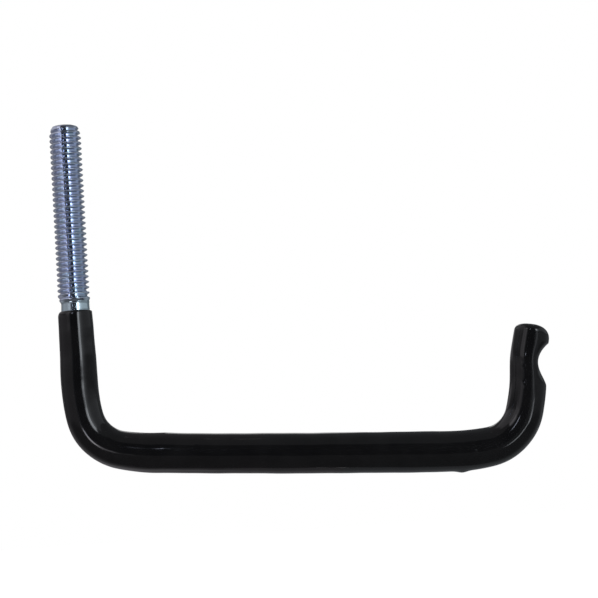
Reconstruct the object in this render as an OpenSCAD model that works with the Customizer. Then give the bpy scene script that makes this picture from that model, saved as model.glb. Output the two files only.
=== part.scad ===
// Cable hook: a bent steel rod with a threaded end, dipped in soft black vinyl.
// Millimetres. The thread's axis is +Z, its lower end is the origin, and the hook opens along +X.

/* [Thread] */
// Outside diameter of the rolled thread
thread_d = 6; // [5:0.5:10]
// Distance between neighbouring thread crests
thread_pitch = 1; // [0.8:0.05:1.25]
// Length of the threaded end, chamfer included
thread_len = 33; // [15:0.5:60]
// Height of the chamfer at the free end of the thread
thread_chamfer = 0.9; // [0.4:0.1:1.2]
// Bare plain shank between the thread and the vinyl
bare_len = 1.8; // [1:0.1:6]

/* [Hook] */
// Straight leg from the thread's lower end to the first bend
leg_len = 14.3; // [8:0.1:40]
// Centre line radius of both bends
bend_r = 8.75; // [7:0.05:14]
// Centre line radius where a bend eases into its straight lengths
ease_r = 34.7; // [25:0.1:60]
// Angle turned in each easing length
ease_turn = 11.3; // [8:0.1:14]
// Angle from the threaded leg round to the bar
bar_turn = 86.5; // [80:0.5:92]
// Straight length of the bar
bar_len = 53.6; // [25:0.1:90]
// Angle from the bar round to the short leg
tip_turn = 88.2; // [80:0.2:92]
// Short leg from the end of its bend to the top of the vinyl
tip_len = 9.2; // [9:0.1:14]
// Outward lean of the head above the notch
head_lean = 8; // [4:0.5:12]

/* [Notch] */
// Middle of the notch above the end of the second bend
notch_at = 2.3; // [2:0.1:3]
// Depth of the notch in the vinyl surface
notch_depth = 1.54; // [0.8:0.02:1.6]
// Half length of the notch on the bend side
notch_below = 4.2; // [3.4:0.1:4.4]
// Half length of the notch on the head side
notch_above = 3.75; // [3.2:0.05:3.8]
// Radius of the dent pressed across the rod
dent_r = 5.3; // [4.6:0.1:6]
// How much deeper the dent in the rod is than the notch in the vinyl
dent_extra = 0.18; // [0.1:0.02:0.3]

/* [Vinyl] */
// Vinyl thickness at its upper edge
coat_edge = 0.4; // [0.35:0.05:0.8]
// Rounding of the vinyl's upper edge
edge_round = 0.3; // [0.15:0.05:0.3]
// Vinyl thickness round the first bend
coat_first_bend = 0.62; // [0.5:0.02:1]
// Vinyl thickness along the bar, where the dip drained to
coat_bar = 0.92; // [0.7:0.02:1.3]
// Vinyl thickness round the second bend and up the short leg
coat_tip = 0.67; // [0.6:0.01:1]
// Vinyl thickness over the end of the rod
coat_end = 1.1; // [1:0.05:1.5]
// Length over which the bar's vinyl thins towards each bend
swell_len = 11; // [5:0.5:12]
// Rounded height of the head on its inner side
head_round_in = 1.6; // [1.2:0.1:2.2]
// Rounded height of the head on its outer side
head_round_out = 2.6; // [2:0.1:2.8]
// Radius of the drip under the bar
drip_r = 0.9; // [0.6:0.1:1.2]
// Height of the drip below the bar
drip_h = 0.28; // [0.1:0.02:0.4]
// Place of the drip past the straight end of the bar
drip_past = 1.8; // [0.5:0.1:4]

/* [Hidden] */
$fn = 96;
rod_r = thread_d / 2 - 0.325 * thread_pitch;
runout = 0.6 * thread_pitch;
edge_r = rod_r + coat_edge;
first_r = rod_r + coat_first_bend;
bar_r = rod_r + coat_bar;
tip_r = rod_r + coat_tip;
crank_span = 2;
crank_at = 3.2;
crank_from = crank_at - crank_span / 2;
crank_r = crank_span / head_lean * 180 / PI;
end_chamfer = 0.8;
seat = 0.03;
lap = 0.3;
fuller = 0.02;
loft_from = -3.2;
loft_lap = 0.6;
loft_sides = 44;
loft_rows = 40;
end_rows = 9;
start_turn = -90;

// Centre line: a point is [x, z], and a heading is an angle up from +X
function ahead(p, h, l) = p + l * [cos(h), sin(h)];
function hub(p, h, r) = p + r * [-sin(h), cos(h)];
function turned(p, h, r, a) = hub(p, h, r) + r * [sin(h + a), -cos(h + a)];

p1 = [0, -leg_len];
h2 = start_turn + ease_turn;
p2 = turned(p1, start_turn, ease_r, ease_turn);
h3 = start_turn + bar_turn - ease_turn;
p3 = turned(p2, h2, bend_r, bar_turn - 2 * ease_turn);
h4 = start_turn + bar_turn;
p4 = turned(p3, h3, ease_r, ease_turn);
p5 = ahead(p4, h4, bar_len);
h6 = h4 + ease_turn;
p6 = turned(p5, h4, ease_r, ease_turn);
h7 = h4 + tip_turn - ease_turn;
p7 = turned(p6, h6, bend_r, tip_turn - 2 * ease_turn);
h8 = h4 + tip_turn;
p8 = turned(p7, h7, ease_r, ease_turn);
h9 = h8 - head_lean;
crank_start = ahead(p8, h8, crank_from);
crank_end = turned(crank_start, h8, -crank_r, -head_lean);

// Short leg: its centre line at a distance s above the end of the second bend
function arc_angle(s, r) = s / r * 180 / PI;
function tip_heading(s) =
    s < 0 ? h8 + arc_angle(s, ease_r) :
    s < crank_from ? h8 :
    s < crank_from + crank_span ? h8 - arc_angle(s - crank_from, crank_r) : h9;
function tip_point(s) =
    s < 0 ? turned(p8, h8, ease_r, arc_angle(s, ease_r)) :
    s < crank_from ? ahead(p8, h8, s) :
    s < crank_from + crank_span ? turned(crank_start, h8, -crank_r, -arc_angle(s - crank_from, crank_r)) :
    ahead(crank_end, h9, s - crank_from - crank_span);

// Short leg: how far the notch cuts in, and how the head rounds over
function notch_cut(s) =
    let (u = s < notch_at ? (notch_at - s) / notch_below : (s - notch_at) / notch_above)
    u >= 1 ? 0 : notch_depth * pow(1 - u * u, s < notch_at ? 1.5 : 0.9);
function rounded(s, high, power) =
    let (u = (s - tip_len + high) / high)
    u <= 0 ? 1 : pow(1 - pow(u, power), 1 / power);
function signed_power(v, power) = sign(v) * pow(abs(v), power);

// One ring of the short leg's skin: round on the inner side, flattened where the notch is
function tip_ring(s) =
    let (
        c = tip_point(s),
        h = tip_heading(s),
        cut = notch_cut(s),
        inner = (tip_r - seat) * rounded(s, head_round_in, 2.6),
        outer = (tip_r - seat) * rounded(s, head_round_out, 2.3) - cut,
        half = (inner + outer + cut) / 2,
        power = 2 / (2 + 0.6 * cut / notch_depth)
    )
    [for (j = [0:loft_sides - 1])
        let (
            a = 360 * j / loft_sides,
            t = cos(a) > 0 ? outer * signed_power(cos(a), power) : inner * cos(a),
            y = half * (cos(a) > 0 ? signed_power(sin(a), power) : sin(a))
        )
        [c.x + t * sin(h), y, c.y - t * cos(h)]];

head_from = tip_len - head_round_out;
tip_stations = concat(
    [for (i = [0:loft_rows - 1]) loft_from + (head_from - loft_from) * i / loft_rows],
    [for (i = [0:end_rows - 1]) head_from + head_round_out * sin(86 * i / (end_rows - 1))]
);

module along(p, h) {
    translate([p.x, 0, p.y])
        rotate([0, 90 - h, 0])
            children();
}

// A round length turned about its own centre line, from pairs of radius and distance
module turned_length(p, h, profile) {
    along(p, h)
        rotate_extrude()
            polygon(concat([[0, profile[0][1]]], profile, [[0, profile[len(profile) - 1][1]]]));
}

// A bent length. It starts early and ends late by the laps, to run into its neighbours
module bend(p, h, r, a, tube, lap_from, lap_to) {
    c = hub(p, h, r);
    early = arc_angle(lap_from, r);
    late = arc_angle(lap_to, r);
    translate([c.x, 0, c.y])
        rotate([90, 0, 0])
            rotate([0, 0, h - 90 - early])
                rotate_extrude(angle = a + early + late)
                    translate([r, 0])
                        circle(r = tube);
}

// Both bends, for the rod and for its vinyl. A bend is a hair fuller than the lengths it joins
module first_bend(tube) {
    bend(p1, start_turn, ease_r, ease_turn, tube + fuller, 0, lap);
    bend(p2, h2, bend_r, bar_turn - 2 * ease_turn, tube + 2 * fuller, 0, 0);
    bend(p3, h3, ease_r, ease_turn, tube + fuller, lap, 0);
}

module second_bend(tube, short_by) {
    bend(p5, h4, ease_r, ease_turn, tube + fuller, 0, lap);
    bend(p6, h6, bend_r, tip_turn - 2 * ease_turn, tube + 2 * fuller, 0, 0);
    bend(p7, h7, ease_r, ease_turn, tube + fuller, lap, -short_by);
}

module rod_solid() {
    thread_r = thread_d / 2;
    rotate_extrude()
        polygon([
            [0, -leg_len - lap],
            [rod_r, -leg_len - lap],
            [rod_r, -runout],
            [thread_r, 0],
            [thread_r, thread_len - thread_chamfer],
            [thread_r - thread_chamfer, thread_len],
            [0, thread_len]
        ]);
    first_bend(rod_r);
    turned_length(p4, h4, [[rod_r, -lap], [rod_r, bar_len + lap]]);
    difference() {
        union() {
            second_bend(rod_r, 0);
            rod_head();
        }
        dent_tool();
    }
}

// The rod's short leg, bent outward across the dent
module rod_head() {
    c = hub(crank_start, h8, -crank_r);
    head_rod = tip_len - crank_from - crank_span - coat_end;
    turned_length(p8, h8, [[rod_r, -lap], [rod_r, crank_from + lap]]);
    translate([c.x, 0, c.y])
        rotate([90, 0, 0])
            rotate([0, 0, h9 + 90])
                rotate_extrude(angle = head_lean)
                    translate([crank_r, 0])
                        circle(r = rod_r + fuller);
    turned_length(crank_end, h9, [
        [rod_r, -lap],
        [rod_r, head_rod - end_chamfer],
        [rod_r - end_chamfer, head_rod]
    ]);
}

// A bar laid across the outer side of the short leg
module dent_tool() {
    along(ahead(p8, h8, notch_at), h8)
        translate([rod_r - notch_depth - dent_extra + dent_r, 0, 0])
            rotate([90, 0, 0])
                cylinder(h = 4 * rod_r, r = dent_r, center = true);
}

module vinyl_leg() {
    top = -bare_len;
    rotate_extrude()
        polygon(concat(
            [[0, -leg_len - lap], [first_r, -leg_len - lap], [first_r, -leg_len]],
            [for (a = [0:15:90])
                [edge_r - edge_round + edge_round * cos(a), top - edge_round + edge_round * sin(a)]],
            [[0, top]]
        ));
}

module vinyl_bar() {
    turned_length(p4, h4, [
        [first_r, -lap],
        [first_r, 0],
        [bar_r, swell_len],
        [bar_r, bar_len - swell_len],
        [tip_r, bar_len],
        [tip_r, bar_len + lap]
    ]);
    drip_p = turned(p5, h4, ease_r, arc_angle(drip_past, ease_r));
    drip_heading = h4 + arc_angle(drip_past, ease_r);
    drip_c = drip_p + (tip_r + drip_h - drip_r) * [sin(drip_heading), -cos(drip_heading)];
    translate([drip_c.x, 0, drip_c.y])
        sphere(r = drip_r);
}

module vinyl_tip() {
    rows = len(tip_stations);
    crown = tip_point(tip_len);
    points = concat(
        [for (s = tip_stations) each tip_ring(s)],
        [[crown.x, 0, crown.y]]
    );
    apex = rows * loft_sides;
    faces = concat(
        [[for (j = [0:loft_sides - 1]) j]],
        [for (i = [0:rows - 2], j = [0:loft_sides - 1])
            let (k = (j + 1) % loft_sides, low = i * loft_sides, high = low + loft_sides)
            [low + j, high + j, high + k]],
        [for (i = [0:rows - 2], j = [0:loft_sides - 1])
            let (k = (j + 1) % loft_sides, low = i * loft_sides, high = low + loft_sides)
            [low + j, high + k, low + k]],
        [for (j = [0:loft_sides - 1])
            let (k = (j + 1) % loft_sides, low = (rows - 1) * loft_sides)
            [low + j, apex, low + k]]
    );
    polyhedron(points = points, faces = faces);
}

module steel_rod() {
    color("#c9d0da")
        rod_solid();
}

module vinyl_coating() {
    color("#17171a")
        difference() {
            union() {
                vinyl_leg();
                first_bend(first_r);
                vinyl_bar();
                second_bend(tip_r, -loft_from - loft_lap);
                vinyl_tip();
            }
            rod_solid();
        }
}

steel_rod();
vinyl_coating();
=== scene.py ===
# Cable hook: a bent zinc plated rod with a rolled thread, dipped in soft black vinyl
import math

import bmesh
import bpy
import numpy as np
from mathutils import Matrix, Vector


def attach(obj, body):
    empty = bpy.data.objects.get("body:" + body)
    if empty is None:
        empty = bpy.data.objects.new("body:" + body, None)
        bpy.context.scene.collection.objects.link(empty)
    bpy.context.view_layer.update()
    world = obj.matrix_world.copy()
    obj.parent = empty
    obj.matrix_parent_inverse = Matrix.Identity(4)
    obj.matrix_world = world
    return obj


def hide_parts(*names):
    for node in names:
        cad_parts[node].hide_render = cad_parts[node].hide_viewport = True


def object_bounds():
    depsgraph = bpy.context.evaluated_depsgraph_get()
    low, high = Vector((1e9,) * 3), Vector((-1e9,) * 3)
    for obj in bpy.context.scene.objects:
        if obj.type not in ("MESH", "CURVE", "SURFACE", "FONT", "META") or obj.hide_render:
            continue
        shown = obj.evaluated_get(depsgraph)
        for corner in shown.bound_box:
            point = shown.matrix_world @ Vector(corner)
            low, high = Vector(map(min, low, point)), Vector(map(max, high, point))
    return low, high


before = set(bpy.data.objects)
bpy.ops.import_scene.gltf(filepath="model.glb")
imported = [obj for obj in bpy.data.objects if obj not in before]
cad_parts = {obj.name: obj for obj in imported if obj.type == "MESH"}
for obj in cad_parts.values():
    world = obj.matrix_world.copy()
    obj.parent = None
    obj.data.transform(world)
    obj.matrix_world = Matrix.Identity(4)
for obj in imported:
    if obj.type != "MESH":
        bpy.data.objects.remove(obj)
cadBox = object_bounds()
mm = 0.001
fullTurn = 2 * math.pi
farOff = 9          # millimetres, well clear of the hook's skin
mergeWithin = 1e-7  # metres
print("frame loaded:", sorted(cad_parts))


def hexLinear(code):
    # sRGB hex to linear: c / 12.92 below 0.04045, else ((c + 0.055) / 1.055) to the power 2.4
    c = np.array([int(code[i:i + 2], 16) for i in (1, 3, 5)]) / 255
    lin = np.where(c <= 0.04045, c / 12.92, ((c + 0.055) / 1.055) ** 2.4)
    return (*lin.tolist(), 1.0)


def addNode(tree, kind, values=None, links=None, **settings):
    # one node: settings are its own properties, values fill sockets, links join sockets
    node = tree.nodes.new(kind)
    for name, value in settings.items():
        setattr(node, name, value)
    for name, value in (values or {}).items():
        node.inputs[name].default_value = value
    for name, socket in (links or {}).items():
        tree.links.new(socket, node.inputs[name])
    return node


def addNoise(tree, coords, across, detail, roughness):
    # noise on the object's own coordinates, its patches about so many millimetres across
    return addNode(tree, "ShaderNodeTexNoise",
                   {"Scale": 1 / (across * mm), "Detail": detail, "Roughness": roughness},
                   {"Vector": coords.outputs["Object"]})


def addRamp(tree, noise, stops):
    # colour ramp over a noise, through stops of place and colour
    ramp = addNode(tree, "ShaderNodeValToRGB", links={"Fac": noise.outputs["Fac"]})
    marks = ramp.color_ramp.elements
    for mark, (place, colour) in zip(marks, (stops[0], stops[-1])):
        mark.position, mark.color = place, hexLinear(colour)
    for place, colour in stops[1:-1]:
        marks.new(place).color = hexLinear(colour)
    return ramp


def newMaterial(name):
    mat = bpy.data.materials.new(name)
    mat.use_nodes = True
    mat.node_tree.nodes.clear()
    return mat, mat.node_tree


def addObject(name, data):
    thing = bpy.data.objects.new(name, data)
    bpy.context.scene.collection.objects.link(thing)
    return thing


def smoothStep(t):
    # 3 * t squared - 2 * t cubed, held at 0 below 0 and at 1 above 1
    t = np.clip(t, 0, 1)
    return t * t * (3 - 2 * t)


def easeIn(s, start, over):
    # 0 up to start, then eased to 1 over the given length
    return smoothStep((s - start) / over)


def bell(t, width):
    # e to the power of -(t / width) squared
    return np.exp(-(t / width) ** 2)


# centre line, in millimetres and degrees
hook = dict(
    leg=14.3,         # straight leg below the thread
    bendRadius=8.75,  # both bends, at the centre line
    easeRadius=34.7,  # where a bend eases into its straight lengths
    easeTurn=11.3,
    barTurn=86.5,     # whole turn of the first bend
    bar=53.6,
    tipTurn=88.2,     # whole turn of the second bend
    tip=9.2,          # short leg above the second bend
    crankAt=2.2,      # the head leans out from here, over crankSpan
    crankSpan=2.0,
    headLean=8.0,
    blur=1.6,         # length over which curvature changes
    step=0.02,        # spacing of the points worked out
)


def centreLine():
    # heading = start + running sum of curvature, place = running sum of (cos, sin) of the heading
    rad, step = math.radians, hook["step"]
    ease = (hook["easeRadius"] * rad(hook["easeTurn"]), 1 / hook["easeRadius"])
    turns = [rad(hook[name] - 2 * hook["easeTurn"]) for name in ("barTurn", "tipTurn")]
    bends = [(hook["bendRadius"] * turn, 1 / hook["bendRadius"]) for turn in turns]
    crank = (hook["crankSpan"], -rad(hook["headLean"]) / hook["crankSpan"])
    head = hook["tip"] - hook["crankAt"] - hook["crankSpan"]
    # runs of length and curvature, from the thread's lower end to the tip
    runs = [(hook["leg"], 0), ease, bends[0], ease, (hook["bar"], 0), ease, bends[1], ease,
            (hook["crankAt"], 0), crank, (head, 0)]
    barRun, lastEase = 4, 7  # places in that list
    ends = np.cumsum([run[0] for run in runs])
    s = np.arange(0, ends[-1], step) + step / 2
    bent = np.array([run[1] for run in runs])[np.clip(np.searchsorted(ends, s), 0, len(runs) - 1)]
    window = np.ones(int(hook["blur"] / step))
    bent = np.convolve(bent, window / window.size, mode="same")
    heading = -math.pi / 2 + np.cumsum(bent) * step
    x, z = np.cumsum(np.cos(heading)) * step, np.cumsum(np.sin(heading)) * step
    return dict(s=s, x=x, z=z, heading=heading,
                length=ends[-1], barTo=ends[barRun], tipFrom=ends[lastEase])


line = centreLine()


def skinPoints(s, reach, side):
    # place on the centre line + reach * outward + side * Y, outward being the hook's outer side
    x, z, heading = (np.interp(s, line["s"], line[name]) for name in ("x", "z", "heading"))
    z = z - np.minimum(s - line["s"][0], 0)  # above the thread's lower end the line is straight
    return np.stack([x + reach * np.sin(heading), side + 0 * s, z - reach * np.cos(heading)], -1)


def gridQuads(rows, cols, first=0):
    # quads between neighbouring rows, closed round the columns
    i, j = np.meshgrid(np.arange(rows - 1), np.arange(cols), indexing="ij")
    k = (j + 1) % cols
    quads = np.stack([i * cols + j, i * cols + k, (i + 1) * cols + k, (i + 1) * cols + j], -1)
    return quads.reshape(-1, 4) + first


def makePiece(name, points, faces, material, node, marks=None):
    mesh = bpy.data.meshes.new(name)
    mesh.from_pydata((np.asarray(points) * mm).tolist(), [], faces)
    for mark, values in (marks or {}).items():
        layer = mesh.attributes.new(mark, "FLOAT", "POINT")
        layer.data.foreach_set("value", np.asarray(values, np.float32))
    work = bmesh.new()
    work.from_mesh(mesh)
    bmesh.ops.remove_doubles(work, verts=work.verts, dist=mergeWithin)
    openEdges = sum(1 for edge in work.edges if len(edge.link_faces) != 2)
    volume = work.calc_volume(signed=True) / mm ** 3
    work.to_mesh(mesh)
    work.free()
    mesh.polygons.foreach_set("use_smooth", np.ones(len(mesh.polygons), bool))
    mesh.materials.append(material)
    piece = addObject(name, mesh)
    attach(piece, "root")
    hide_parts(node)
    print(name, "faces", len(mesh.polygons), "open edges", openEdges, "volume mm3", round(volume, 1))


# finishes: patterns in millimetres across, stops of a ramp as place and colour
zincLook = dict(
    patch=2.2, patchDetail=3.0, patchRough=0.55,
    tints=((0.36, "#d9e3fa"), (0.5, "#dde7fd"), (0.64, "#dcecfb")),
    shankTint="#dcf1fb",            # the shank below the thread is greener
    grain=0.22, grainDetail=4.0, grainRough=0.6,
    bump=0.06, bumpHigh=0.03,       # strength of the grain's relief, and its height in millimetres
    sheen=(0.03, 0.09), dull=0.36,  # roughness of the plate, and of the crests that rolling leaves dull
)
vinylLook = dict(
    cloud=4.0, cloudDetail=2.0, cloudRough=0.5,
    blacks=((0.35, "#09090a"), (0.7, "#0d0d0e")),
    gloss=(0.06, 0.13),             # roughness over the clouds
    flow=1.8, flowDetail=1.0, flowRough=0.4,
    bump=0.1, bumpHigh=0.1,         # strength of the orange peel, and its height in millimetres
    refraction=1.53,
)


def zincPlate():
    # steel, bright zinc plated with a clear blue passivate: pale bluish metal, a soft sheen broken by
    # fine plating grain, with faint lilac and green patches where the passivate is thicker or thinner
    mat, tree = newMaterial("steel_blue_zinc_plated")
    coords = addNode(tree, "ShaderNodeTexCoord")
    patch = addNoise(tree, coords, zincLook["patch"], zincLook["patchDetail"], zincLook["patchRough"])
    tint = addRamp(tree, patch, zincLook["tints"])
    bare = addNode(tree, "ShaderNodeAttribute", attribute_name="bare")
    colour = addNode(tree, "ShaderNodeMixRGB", {"Color2": hexLinear(zincLook["shankTint"])},
                     {"Fac": bare.outputs["Fac"], "Color1": tint.outputs["Color"]})
    grain = addNoise(tree, coords, zincLook["grain"], zincLook["grainDetail"], zincLook["grainRough"])
    sheen = addNode(tree, "ShaderNodeMapRange",
                    {"To Min": zincLook["sheen"][0], "To Max": zincLook["sheen"][1]},
                    {"Value": grain.outputs["Fac"]})
    crest = addNode(tree, "ShaderNodeAttribute", attribute_name="crest")
    rough = addNode(tree, "ShaderNodeMapRange", {"To Max": zincLook["dull"]},
                    {"Value": crest.outputs["Fac"], "To Min": sheen.outputs["Result"]})
    bump = addNode(tree, "ShaderNodeBump",
                   {"Strength": zincLook["bump"], "Distance": zincLook["bumpHigh"] * mm},
                   {"Height": grain.outputs["Fac"]})
    shader = addNode(tree, "ShaderNodeBsdfPrincipled", {"Metallic": 1.0},
                     {"Base Color": colour.outputs["Color"], "Roughness": rough.outputs["Result"],
                      "Normal": bump.outputs["Normal"]})
    addNode(tree, "ShaderNodeOutputMaterial", links={"Surface": shader.outputs["BSDF"]})
    return mat


def dippedVinyl():
    # soft PVC plastisol, dipped and fused: deep black with a wet semi-gloss skin, slightly uneven
    # as it flowed, so highlight edges waver, with a few duller clouds
    mat, tree = newMaterial("pvc_black_dipped")
    coords = addNode(tree, "ShaderNodeTexCoord")
    cloud = addNoise(tree, coords, vinylLook["cloud"], vinylLook["cloudDetail"], vinylLook["cloudRough"])
    colour = addRamp(tree, cloud, vinylLook["blacks"])
    rough = addNode(tree, "ShaderNodeMapRange",
                    {"To Min": vinylLook["gloss"][0], "To Max": vinylLook["gloss"][1]},
                    {"Value": cloud.outputs["Fac"]})
    flow = addNoise(tree, coords, vinylLook["flow"], vinylLook["flowDetail"], vinylLook["flowRough"])
    bump = addNode(tree, "ShaderNodeBump",
                   {"Strength": vinylLook["bump"], "Distance": vinylLook["bumpHigh"] * mm},
                   {"Height": flow.outputs["Fac"]})
    shader = addNode(tree, "ShaderNodeBsdfPrincipled", {"IOR": vinylLook["refraction"]},
                     {"Base Color": colour.outputs["Color"], "Roughness": rough.outputs["Result"],
                      "Normal": bump.outputs["Normal"]})
    addNode(tree, "ShaderNodeOutputMaterial", links={"Surface": shader.outputs["BSDF"]})
    return mat


zinc = zincPlate()
vinyl = dippedVinyl()
print("finishes made:", zinc.name, vinyl.name)

# steel rod with its rolled thread: places are millimetres below the thread's lower end, and a pair
# of numbers is a place and the length over which something eases in
rod = dict(
    columns=96, coreRows=200,
    major=2.92,               # thread radius over its crests, a little under its nominal size
    depth=0.6,                # crest to root
    pitch=1.0, phase=0.48,
    uneven=0.012,             # waver of the rolled teeth
    turnsFrom=-32.78,         # free end
    endRadius=2.42, endTaper=0.28, endRound=0.4,  # the first turns are cut down to a slow, rounded cone
    endFace=1.5,              # how much of the helix is laid flat on the end face
    endCrown=0.12,            # and how far that face is domed
    runout=(-0.5, 1.0),       # the crests die out
    shallow=(-2.0, 2.0),      # before that the grooves lose a share of their depth
    shallowBy=0.6,
    helixPast=0.05,           # the helix goes on past the runout by this much
    coreGap=0.06,             # from the helix to the first plain ring
    shank=2.675,              # plain rod radius
    waist=2.6,                # and where it shows between thread and vinyl
    flare=0.045,              # it widens by this in each millimetre, for flareHalf either side of flareAt
    flareAt=1.2, flareHalf=0.7, flareOut=(1.9, 0.6),
    jog=0.2, jogIn=(-0.9, 1.2),  # the shank stands a little to the inner side of the thread
    hidden=(2.5, 4.0),        # inside the vinyl, waist and jog go back to the plain rod
    crestDull=0.12,           # share of the depth that rolling leaves dull
    brightTurns=3.0,          # length from the free end over which that dullness eases in
    dullShank=0.4,            # how far the bare shank has the crests' dull skin
    bareOver=0.8,             # length over which the shank's skin takes over from the thread's
    endShort=1.1,             # vinyl over the rod's end
    endChamfer=0.8,
    dentAt=2.3,               # middle of the pressed dent, above the second bend
    dentRadius=5.3,
    dentFloor=0.955,
)
rodEnd = line["length"] - rod["endShort"]
# one tooth, as place along the pitch against share of the depth: crest, flank, root, flank
toothHalf = np.array([(0, 0), (.04, .008), (.08, .035), (.115, .085), (.145, .15), (.16, .19),
                      (.28, .53), (.38, .83), (.41, .91), (.45, .975), (.5, 1)])
toothAt = np.concatenate([toothHalf[:, 0], 1 - toothHalf[-2:0:-1, 0]])
toothDeep = np.concatenate([toothHalf[:, 1], toothHalf[-2:0:-1, 1]])


def rodRadius(s, phi):
    # plain radius, cut back where a crosswise bar of dentRadius was pressed into the outer side
    above = s - line["tipFrom"] - rod["dentAt"]
    sag = rod["dentRadius"] - np.sqrt(np.maximum(rod["dentRadius"] ** 2 - above ** 2, 0))
    sag = sag + farOff * (np.abs(above) >= rod["dentRadius"])
    leanFrom = hook["crankAt"] + hook["crankSpan"] / 2
    lean = np.maximum(s - line["tipFrom"] - leanFrom, 0) * math.tan(math.radians(hook["headLean"]))
    outward = np.maximum(np.cos(phi), 1e-3)  # kept above zero, as it divides
    flat = (rod["dentFloor"] + sag - lean) / outward
    cone = rod["shank"] - np.maximum(s - (rodEnd - rod["endChamfer"]), 0)
    r = np.minimum(np.where(np.cos(phi) > 0, np.minimum(rod["shank"], flat), rod["shank"]), cone)
    return r - (rod["shank"] - rod["waist"]) * (1 - easeIn(s, *rod["hidden"]))


def rodJog(s):
    # sideways shift: the jog, eased in at the thread's end and out again inside the vinyl
    return rod["jog"] * easeIn(s, *rod["jogIn"]) * (1 - easeIn(s, *rod["hidden"]))


def threadRows(phi):
    # s = start + pitch * (turn + tooth place + phi / full turn), so a row follows one line of the tooth
    start = math.floor(rod["turnsFrom"]) - rod["endFace"] - rod["pitch"] + rod["phase"] - 1
    turns = int(math.ceil((sum(rod["runout"]) + rod["helixPast"] - start) / rod["pitch"]))
    place = (np.arange(turns)[:, None] + toothAt[None, :]).ravel()
    s = start + rod["pitch"] * (place[:, None] + phi[None, :] / fullTurn)
    return s, np.tile(toothDeep, turns)


def threadRadius(s, deep, phi):
    # crest radius - depth * tooth share, eased into the shank's radius and kept inside the end's cone
    groove = 1 - rod["shallowBy"] * easeIn(s, *rod["shallow"])
    r = rod["major"] - rod["depth"] * deep[:, None] * groove
    # two waves out of step with the turns
    r = r + rod["uneven"] * np.sin(5 * phi + 1.9 * s) * np.sin(2.7 * s + 2 * phi)
    widen = rod["flare"] * np.clip(s - rod["flareAt"], -rod["flareHalf"], rod["flareHalf"])
    bare = rod["waist"] + widen * (1 - easeIn(s, *rod["flareOut"]))
    r = r + (bare - r) * easeIn(s, *rod["runout"])
    r = np.minimum(r, rod["endRadius"] + rod["endTaper"] * (s - rod["turnsFrom"]))
    early = np.clip(1 - (s - rod["turnsFrom"]) / rod["endRound"], 0, 1)
    return r - rod["endRound"] * (1 - np.sqrt(1 - early ** 2))


def layOnEnd(s, r):
    # helix past the free end lies on its face: radius falling to 0 over endFace, and a slight dome
    over = np.maximum(rod["turnsFrom"] - s, 0)
    share = np.clip(over / rod["endFace"], 0, 1)
    faceRadius = (rod["endRadius"] - rod["endRound"]) * (1 - share)
    return np.maximum(s, rod["turnsFrom"]) - rod["endCrown"] * share, np.where(over > 0, faceRadius, r)


def steelRod():
    # centre line + (radius * cos phi - jog) outward + radius * sin phi sideways, on helix rows, then rings
    n, cols = toothAt.size, rod["columns"]
    phi = fullTurn * np.arange(cols) / cols
    helix, deep = threadRows(phi)
    s, r = layOnEnd(helix, threadRadius(helix, deep, phi))
    # core rows: plain rings down the centre line to the rod's end
    coreFrom, coreTo = helix[-1].max() + rod["coreGap"], rodEnd - rod["endChamfer"]
    coreS = np.append(np.linspace(coreFrom, coreTo, rod["coreRows"]), rodEnd)
    ringS = coreS[:, None] + 0 * phi
    points = [skinPoints(at, radius * np.cos(phi) - rodJog(at), radius * np.sin(phi)).reshape(-1, 3)
              for at, radius in ((s, r), (ringS, rodRadius(ringS, phi)))]
    points.append(skinPoints(np.array([rodEnd]), 0.0, 0.0))  # middle of the rod's flat end
    # helix: neighbours along a row, and the step to the next turn where the row comes round
    rows, end = s.shape[0], cols - 1
    i, j = np.meshgrid(np.arange(rows - 1), np.arange(end), indexing="ij")
    body = np.stack([i * cols + j, i * cols + j + 1, (i + 1) * cols + j + 1, (i + 1) * cols + j], -1)
    i = np.arange(rows - n - 1)
    seam = np.stack([i * cols + end, (i + n) * cols, (i + n + 1) * cols, (i + 1) * cols + end], -1)
    faces = body.reshape(-1, 4).tolist() + seam.tolist()
    first = rows * cols
    faces += gridQuads(coreS.size, cols, first).tolist()
    # join: last helix row to the first ring, then a fan over the one-pitch step
    last = first - cols
    j = np.arange(end)
    faces += np.stack([last + j, last + j + 1, first + j + 1, first + j], -1).tolist()
    faces += [[last + end, first, first + end]]
    stair = np.arange(rows - 1 - n, rows) * cols + end
    faces += np.stack([stair[:-1], np.full(n, last), stair[1:]], -1).tolist()
    faces += [[last + end, last, first]]
    # end of the rod: a flat disc
    pole = first + coreS.size * cols
    j = np.arange(cols)
    faces += np.stack([pole - cols + j, pole - cols + (j + 1) % cols, np.full(cols, pole)], -1).tolist()
    # marks for the finish: dull crests on the full thread, and the bare shank
    onThread = (s < rod["runout"][0]) * easeIn(s, rod["turnsFrom"], rod["brightTurns"])
    crest = np.repeat(bell(deep, rod["crestDull"]), cols) * onThread.ravel()
    plain = pole + 1 - crest.size  # points of the core and its end
    bare = np.append(easeIn(s, rod["runout"][0], rod["bareOver"]), np.ones(plain))
    marks = {"crest": np.append(crest, np.zeros(plain)) + rod["dullShank"] * bare, "bare": bare}
    makePiece("steel_rod_threaded", np.concatenate(points), faces,
              zinc, "steel_rod", marks)


steelRod()

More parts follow.
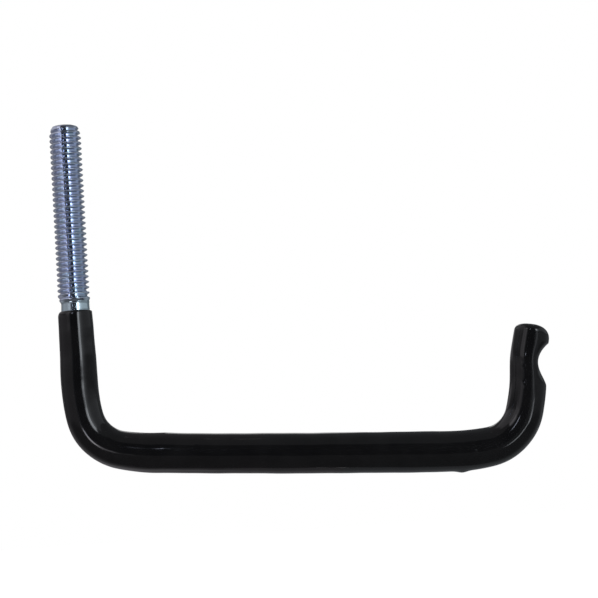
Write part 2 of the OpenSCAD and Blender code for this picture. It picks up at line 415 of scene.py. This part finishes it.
# vinyl dip
dip = dict(
    columns=128,
    bodyRows=540, innerRows=110, lipRows=8, headRows=22,
    edge=1.8,        # where the vinyl starts, below the thread
    lipWide=0.46, lipHigh=0.62,  # rounding of its upper edge
    lipLean=0.18, lipDrop=0.4,   # more of it on the outer side
    # coated radius along the hook, as distance against millimetres
    radiusAt=(1.8, 5, 14, 21, 28, 39, 62, 88, 95, 104, 112, 118, 125),
    radius=(3.12, 3.2, 3.36, 3.38, 3.43, 3.61, 3.71, 3.74, 3.62, 3.4, 3.37, 3.33, 3.26),
    # the dip lies thicker on the inner side of bends and legs, and hangs under the middle of the bar
    driftAt=(1.8, 5, 10, 18, 24, 33, 39, 50, 62, 80, 88, 95, 104, 112, 117, 125),
    drift=(.06, .13, .17, .15, .06, .08, .11, 0, -.05, -.03, .04, .07, .03, .1, .16, .17),
    # it gathered in two small swells on the inner side: distance, height, width
    pools=((38.5, 0.14, 6.0), (97.5, 0.13, 6.0)),
    poolPower=1.5,   # how closely they keep to the inner side
    notchAt=2.28, notchDepth=1.67, notchBelow=4.2, notchAbove=3.9,
    notchPowers=(1.5, 0.95),  # gentle towards the bend, steep towards the head
    notchFlat=0.6,   # how far the section flattens in the notch
    headIn=1.6, headOut=2.6, headSide=1.3,  # rounded height of the head, inner, outer and flat sides
    headPowers=(2.6, 2.3, 2.6),             # and how square each of those roundings is
    headTurn=88,     # degrees of its rounding in rings, with a fan over the rest
    dripAt=1.8, dripHigh=0.28, dripWide=0.95,
    waver=0.018,     # uneven flow of the dip, growing over waverOver below the edge
    waverOver=4,
    # pimples and pinholes: distance along the hook, angle round it, height, width
    specks=((45.2, 242, .05, .22), (44.4, 250, .035, .2), (69.0, 221, .05, .2),
            (69.9, 222, .03, .18), (88.8, 228, .05, .2), (95.3, 272, .05, .22),
            (116.4, 250, -.07, .28), (113.6, 252, -.09, .3), (112.5, 253, .04, .2),
            (118.0, 248, .06, .5), (61.0, 236, .03, .2), (30.5, 300, .03, .2)),
    speckRadius=3.4,  # skin radius that their widths are laid out on
    bite=0.03,        # the inner wall reaches into the rod by this much, so that no gap shows
    endGap=0.01, edgeGap=0.02,  # and stops short of the rod's end and of the edge
)


def notchCut(t):
    # depth * (1 - u squared) to a power, u running to 1 at either end of the notch
    low = np.clip((dip["notchAt"] - t) / dip["notchBelow"], 0, 1)
    high = np.clip((t - dip["notchAt"]) / dip["notchAbove"], 0, 1)
    gentle, steep = dip["notchPowers"]
    share = np.where(t < dip["notchAt"], (1 - low ** 2) ** gentle, (1 - high ** 2) ** steep)
    return dip["notchDepth"] * share


def headRound(t, high, power):
    # (1 - u to the power) to the power's inverse, u running to 1 at the tip over the rounded height
    u = np.clip((t - hook["tip"] + high) / high, 0, 1)
    return np.maximum(1 - u ** power, 0) ** (1 / power)


def dipRadius(s, phi):
    # coated radius + waves of uneven flow + swells on the inner side + the drip + pimples and pinholes
    wave = np.sin(0.31 * s + 0.4) * np.cos(phi - 0.9) + 0.7 * np.sin(0.53 * s + 2 * phi + 1.3)
    wave = wave + 0.5 * np.sin(1.07 * s - phi + 0.2)  # lengths that don't repeat along the hook
    r = np.interp(s, dip["radiusAt"], dip["radius"])
    r = r + dip["waver"] * wave * easeIn(s, dip["edge"], dip["waverOver"])
    inward = np.maximum(-np.cos(phi), 0)
    for at, high, wide in dip["pools"]:
        r = r + high * bell(s - at, wide) * inward ** dip["poolPower"]
    drip = bell(s - line["barTo"] - dip["dripAt"], dip["dripWide"])
    drip = drip * bell(np.sin(phi) * r, dip["dripWide"])
    r = r + dip["dripHigh"] * drip * (np.cos(phi) > 0)
    for at, turn, high, wide in dip["specks"]:
        off = phi - math.radians(turn)
        aside = dip["speckRadius"] * np.sin(off) + farOff * (np.cos(off) < 0)
        r = r + high * bell(s - at, wide) * bell(aside, wide)
    return r


def dipSkin(s, phi):
    # outward and sideways reach: round on the inner side, a flattened superellipse in the notch
    t = s - line["tipFrom"]
    r = dipRadius(s, phi)
    cut = notchCut(t)
    heads = zip((dip["headIn"], dip["headOut"], dip["headSide"]), dip["headPowers"])
    inner, outer, half = (r * headRound(t, high, power) for high, power in heads)
    outer = outer - cut
    power = 2 / (2 + dip["notchFlat"] * cut / dip["notchDepth"])
    c, d = np.cos(phi), np.sin(phi)
    reach = np.where(c > 0, outer * np.abs(c) ** power, inner * c)
    side = half * np.where(c > 0, np.sign(d) * np.abs(d) ** power, d)
    return reach - np.interp(s, dip["driftAt"], dip["drift"]), side


def vinylDip():
    # centre line + reach outward + side sideways, from the lip to the tip, and a wall on the rod inside
    cols = dip["columns"]
    phi = fullTurn * np.arange(cols) / cols
    lipTurn = np.linspace(0, math.pi / 2, dip["lipRows"] + 1)[:-1, None]
    lipHigh = dip["lipHigh"] + dip["lipDrop"] * np.cos(phi)
    lipS = dip["edge"] + lipHigh * (1 - np.cos(lipTurn))
    headFrom = line["length"] - dip["headOut"]
    bodyS = np.linspace(dip["edge"] + lipHigh.max(), headFrom, dip["bodyRows"])[:-1]
    endTurn = np.radians(np.linspace(0, dip["headTurn"], dip["headRows"]))
    endS = headFrom + dip["headOut"] * np.sin(endTurn)
    s = np.concatenate([lipS, np.concatenate([bodyS, endS])[:, None] + 0 * phi])
    reach, side = dipSkin(s, phi + 0 * s)
    # rounded lip: the skin is drawn in by its width * (1 - sin) of the turn
    drawn = np.zeros_like(s)
    drawn[:dip["lipRows"]] = (dip["lipWide"] + dip["lipLean"] * np.cos(phi)) * (1 - np.sin(lipTurn))
    outer = skinPoints(s, reach - drawn * np.cos(phi), side - drawn * np.sin(phi))
    # inner wall on the rod, from the tip back up to the lip
    wallFrom = rodEnd - dip["endGap"]
    innerS = np.linspace(wallFrom, dip["edge"] + dip["edgeGap"], dip["innerRows"])[:, None] + 0 * phi
    wall = rodRadius(innerS, phi + 0 * innerS) - dip["bite"]
    inner = skinPoints(innerS, wall * np.cos(phi) - rodJog(innerS), wall * np.sin(phi))
    tipPole = skinPoints(np.array([line["length"]]), -dip["drift"][-1], 0.0)
    wallPole = skinPoints(np.array([wallFrom]), 0.0, 0.0)
    points = np.concatenate([outer.reshape(-1, 3), inner.reshape(-1, 3), tipPole, wallPole])
    # both walls, the lip between them, and a fan over either end
    rows, rowsIn = s.shape[0], innerS.shape[0]
    first = rows * cols
    crown = first + rowsIn * cols
    foot = crown + 1
    top, lastIn = first - cols, crown - cols
    j = np.arange(cols)
    k = (j + 1) % cols
    faces = gridQuads(rows, cols).tolist() + gridQuads(rowsIn, cols, first).tolist()
    faces += np.stack([lastIn + j, lastIn + k, k, j], -1).tolist()
    faces += np.stack([top + j, top + k, np.full(cols, crown)], -1).tolist()
    faces += np.stack([first + k, first + j, np.full(cols, foot)], -1).tolist()
    makePiece("vinyl_dip", points, faces, vinyl, "vinyl_coating")


vinylDip()

# camera: near square on, a little from below, rolled so that the bar looks level
shot = dict(
    target=(41.425, 0.0, -2.363), distance=260.0,  # millimetres
    rise=-5.0, roll=3.9,                           # degrees
    pixelsPerMm=5.42, frame=598,                   # scale at the target, and pixels across the picture
    sensor=36,                                     # millimetres
    clip=(0.01, 20),                               # metres
)


def placeCamera():
    # lens = scale * distance / pixels across * sensor
    rise, roll = math.radians(shot["rise"]), math.radians(shot["roll"])
    right = Vector((math.cos(roll), 0, -math.sin(roll)))
    upright = Vector((math.sin(roll), 0, math.cos(roll)))
    ahead = (Vector((0, 1, 0)) * math.cos(rise) - upright * math.sin(rise)).normalized()
    up = right.cross(ahead).normalized()
    data = bpy.data.cameras.new("camera")
    data.sensor_width = shot["sensor"]
    data.lens = shot["pixelsPerMm"] * shot["distance"] / shot["frame"] * data.sensor_width
    data.clip_start, data.clip_end = shot["clip"]
    cam = addObject("camera", data)
    place = Vector(shot["target"]) * mm - ahead * shot["distance"] * mm
    turn = Matrix((right, up, -ahead)).transposed()
    cam.matrix_world = Matrix.Translation(place) @ turn.to_4x4()
    bpy.context.scene.camera = cam
    return cam


camera = placeCamera()
print("camera placed", [round(v, 4) for v in camera.location])

# studio: directions are degrees seen from the object, az to the camera's right and el up, and a pair
# of numbers is a direction and the angle over which something eases in
studio = dict(
    floorBelow=160.0, floorSize=4.0,                 # millimetres below the object, metres across
    floorPaper="#d8d8d8", floorGlow=0.72,
    skyLevel=0.5,
    wallsOut=850.0, wallsUp=600.0, wallsDown=185.0,  # millimetres from the object to the walls
    wallStep=1.0, wallPole=89,                       # degrees between their points, and to here
    backFrom=174.0, backLow=2.0, backHigh=36.0,      # the white backdrop shows through here
    grey=0.13,                                       # plain walls
    lowGrey=0.09, lowBack=0.26,                      # below the object, in front and behind
    lowFrom=(8, 8), lowTurn=(90, 30),                # from here down, and from here round
    farGrey=0.14, farTurn=(118, 16),                 # far round the sides
    # unlit room round the camera as az from, az to, el from, el to, soft edge
    dark=(-33, 17, -15, 47, 4),
    darkShare=0.82, darkTint="#e6f0ff",
    leftTint="#fcf8ff", rightTint="#f2f8ff",         # the two sides' light is not quite the same white
    tintTurn=(-20, 40),
    # light panels as az from, az to, el from, el to, level, soft edge, and how far they slant
    panels=(
        (18.5, 30, 4, 24, 4.5, 3, 0),            # right of the camera, for the line on thread and leg
        (26.5, 35.5, -9, 4, 0.5, 3, -1),         # its faint lower end, for the short leg
        (37, 43.5, -16, -9, 3.4, 3, 0),          # low right pair, for the outer arc on the second bend
        (29, 36, -22.5, -16, 3.4, 2, 1.2),
        (-16.5, -12.5, 15.5, 24, 6.8, 2, 1.0),   # small one left of the camera, for the inner arc
        (-36, -29.5, -21, -10, 5.2, 3, 0),       # low left pair, for the first bend
        (-29, -18, -20.5, -15.5, 1.2, 3, 0),
        (-62, -38, 13, 43, 0.5, 3, 0),           # left wall
        (-50, -34, 6.5, 13, 0.24, 3, 0),
        (-44, -32, 13, 22, 0.2, 3, 0),
        (-48, -31, 24, 40, 0.8, 4, 0),
        (-105, -27, -11, 10, 0.08, 6, 0),
        (-125, -45, 5.5, 13, 0.12, 4, 0),
        (-150, -58, 20, 70, 0.32, 8, 0),         # high on the left, for the thread's left half
        (-172, -128, 7.5, 13, 0.25, 3, 0),       # behind on the left, for the short leg
        (-156, -126, -70, -36, 0.22, 6, 0),      # and low there, for the first bend
        (34, 125, 6.3, 38, 0.27, 3, 0),          # right wall
        (40, 125, -14, 2, 0.08, 6, 0),
    ),
    # the right strip fades out to its right: az from, fading angle, el from, el to, level
    tail=(28, 8, 2, 27, 2.4),
    tailTo=150, tailSoft=3,
    # lamps above left and right of the camera: name, place and width in metres, watts
    lamps=(("lamp_left", (-0.5, -0.7, 0.6), 0.8, 7.0), ("lamp_right", (0.7, -0.6, 0.5), 0.8, 6.0)),
)


def whiteForCamera(tree):
    # 1 where the ray comes from the camera or from a shiny or clear surface
    path = addNode(tree, "ShaderNodeLightPath")
    both = addNode(tree, "ShaderNodeMath", operation="MAXIMUM",
                   links={0: path.outputs["Is Camera Ray"], 1: path.outputs["Is Glossy Ray"]})
    three = addNode(tree, "ShaderNodeMath", operation="MAXIMUM",
                    links={0: both.outputs[0], 1: path.outputs["Is Transmission Ray"]})
    return three.outputs[0]


def whiteSky():
    world = bpy.data.worlds.new("white_sky")
    world.use_nodes = True
    tree = world.node_tree
    tree.nodes.clear()
    level = addNode(tree, "ShaderNodeMapRange", {"To Min": studio["skyLevel"], "To Max": 1.0},
                    {"Value": whiteForCamera(tree)})
    sky = addNode(tree, "ShaderNodeBackground", {"Color": hexLinear("#ffffff")},
                  {"Strength": level.outputs["Result"]})
    addNode(tree, "ShaderNodeOutputWorld", links={"Surface": sky.outputs["Background"]})
    bpy.context.scene.world = world


def paleFloor():
    # white board: lit and shaded as paper, with a white glow to the camera so that it meets the sky
    mat, tree = newMaterial("white_board")
    paper = addNode(tree, "ShaderNodeBsdfDiffuse", {"Color": hexLinear(studio["floorPaper"])})
    strength = addNode(tree, "ShaderNodeMath", {1: studio["floorGlow"]}, {0: whiteForCamera(tree)},
                       operation="MULTIPLY")
    glow = addNode(tree, "ShaderNodeEmission", {"Color": hexLinear("#ffffff")},
                   {"Strength": strength.outputs[0]})
    both = addNode(tree, "ShaderNodeAddShader", links={0: paper.outputs[0], 1: glow.outputs[0]})
    addNode(tree, "ShaderNodeOutputMaterial", links={"Surface": both.outputs[0]})
    low = cadBox[0].z - studio["floorBelow"] * mm
    half = studio["floorSize"] / 2
    corners = [(-half, -half, low), (half, -half, low), (half, half, low), (-half, half, low)]
    mesh = bpy.data.meshes.new("floor")
    mesh.from_pydata(corners, [], [(0, 1, 2, 3)])
    mesh.materials.append(mat)
    floor = addObject("floor", mesh)


def softBox(az, el, azFrom, azTo, elFrom, elTo, soft):
    # 1 inside the box of directions, fading to 0 over the soft edge
    across = smoothStep((az - azFrom) / soft + 0.5) * smoothStep((azTo - az) / soft + 0.5)
    return across * smoothStep((el - elFrom) / soft + 0.5) * smoothStep((elTo - el) / soft + 0.5)


def wallLevel(az, el):
    # brightness of the walls by direction: greys, less the unlit room, + panels + tail, times the tints
    behind = easeIn(np.abs(az), *studio["lowTurn"])
    low = studio["lowGrey"] + (studio["lowBack"] - studio["lowGrey"]) * behind
    level = studio["grey"] + (low - studio["grey"]) * easeIn(-el, *studio["lowFrom"])
    far = easeIn(np.abs(az), *studio["farTurn"]) * (el > -studio["lowFrom"][0])
    level = level + (studio["farGrey"] - level) * far
    unlit = softBox(az, el, *studio["dark"])
    level = level * (1 - studio["darkShare"] * unlit)
    for azFrom, azTo, elFrom, elTo, bright, soft, slant in studio["panels"]:
        aside = az - slant * (el - (elFrom + elTo) / 2)
        level = level + bright * softBox(aside, el, azFrom, azTo, elFrom, elTo, soft)
    azFrom, length, elFrom, elTo, bright = studio["tail"]
    fade = bright * np.exp(-np.maximum(az - azFrom, 0) / length)
    level = level + fade * softBox(az, el, azFrom, studio["tailTo"], elFrom, elTo, studio["tailSoft"])
    tints = ("leftTint", "rightTint", "darkTint")
    left, right, room = (np.array(hexLinear(studio[name])[:3]) for name in tints)
    side = easeIn(az, *studio["tintTurn"])[..., None]
    return level[..., None] * (left + (right - left) * side) * (1 + unlit[..., None] * (room - 1))


def stageCard(name, points, quads, shade):
    # glowing card that only shiny reflections meet, its brightness given point by point
    mesh = bpy.data.meshes.new(name)
    mesh.from_pydata((points * mm).tolist(), [], quads.tolist())
    glow = mesh.attributes.new("glow", "FLOAT_COLOR", "POINT")
    colours = np.concatenate([shade, np.ones_like(shade[:, :1])], -1)
    glow.data.foreach_set("color", colours.ravel().astype(np.float32))
    mat, tree = newMaterial(name + "_glow")
    level = addNode(tree, "ShaderNodeAttribute", attribute_name="glow")
    light = addNode(tree, "ShaderNodeEmission", {"Strength": 1.0}, {"Color": level.outputs["Color"]})
    addNode(tree, "ShaderNodeOutputMaterial", links={"Surface": light.outputs[0]})
    mesh.materials.append(mat)
    card = addObject(name, mesh)
    card.visible_camera = card.visible_diffuse = card.visible_shadow = False
    card.visible_transmission = card.visible_volume_scatter = False


def studioWalls():
    # a shell of grey walls and light panels round the object, open behind it, for shiny reflections:
    # ray of each direction times 1 / sqrt((cos el / out) squared + (sin el / up or down) squared)
    step, pole = studio["wallStep"], studio["wallPole"]
    azSteps, elSteps = np.arange(-180, 180, step), np.arange(-pole, pole + step / 2, step)
    azDeg, elDeg = np.meshgrid(azSteps, elSteps, indexing="ij")
    az, el = np.radians(azDeg), np.radians(elDeg)
    tall = np.where(el > 0, studio["wallsUp"], studio["wallsDown"])
    reach = 1 / np.sqrt((np.cos(el) / studio["wallsOut"]) ** 2 + (np.sin(el) / tall) ** 2)
    ray = np.stack([np.sin(az) * np.cos(el), -np.cos(az) * np.cos(el), np.sin(el)], -1)
    points = (np.array(shot["target"]) + reach[..., None] * ray).reshape(-1, 3)
    cols, rows = az.shape
    i, j = np.meshgrid(np.arange(cols), np.arange(rows - 1), indexing="ij")
    k = (i + 1) % cols
    quads = np.stack([i * rows + j, i * rows + j + 1, k * rows + j + 1, k * rows + j], -1)
    back = (elDeg > studio["backLow"]) & (elDeg < studio["backHigh"])
    back = back & (np.abs(azDeg) > studio["backFrom"])
    quads = quads[~back[:, :-1]]
    stageCard("studio_walls", points, quads, wallLevel(azDeg, elDeg).reshape(-1, 3))


def softLamps():
    for name, place, size, power in studio["lamps"]:
        data = bpy.data.lights.new(name, "AREA")
        data.shape, data.size, data.energy = "SQUARE", size, power
        lamp = addObject(name, data)
        aim = Vector(shot["target"]) * mm - Vector(place)
        turn = aim.to_track_quat("-Z", "Y").to_matrix()
        lamp.matrix_world = Matrix.Translation(Vector(place)) @ turn.to_4x4()
        lamp.visible_glossy = False


whiteSky()
paleFloor()
studioWalls()
softLamps()
bpy.context.scene.view_settings.view_transform = "Standard"
print("studio ready")
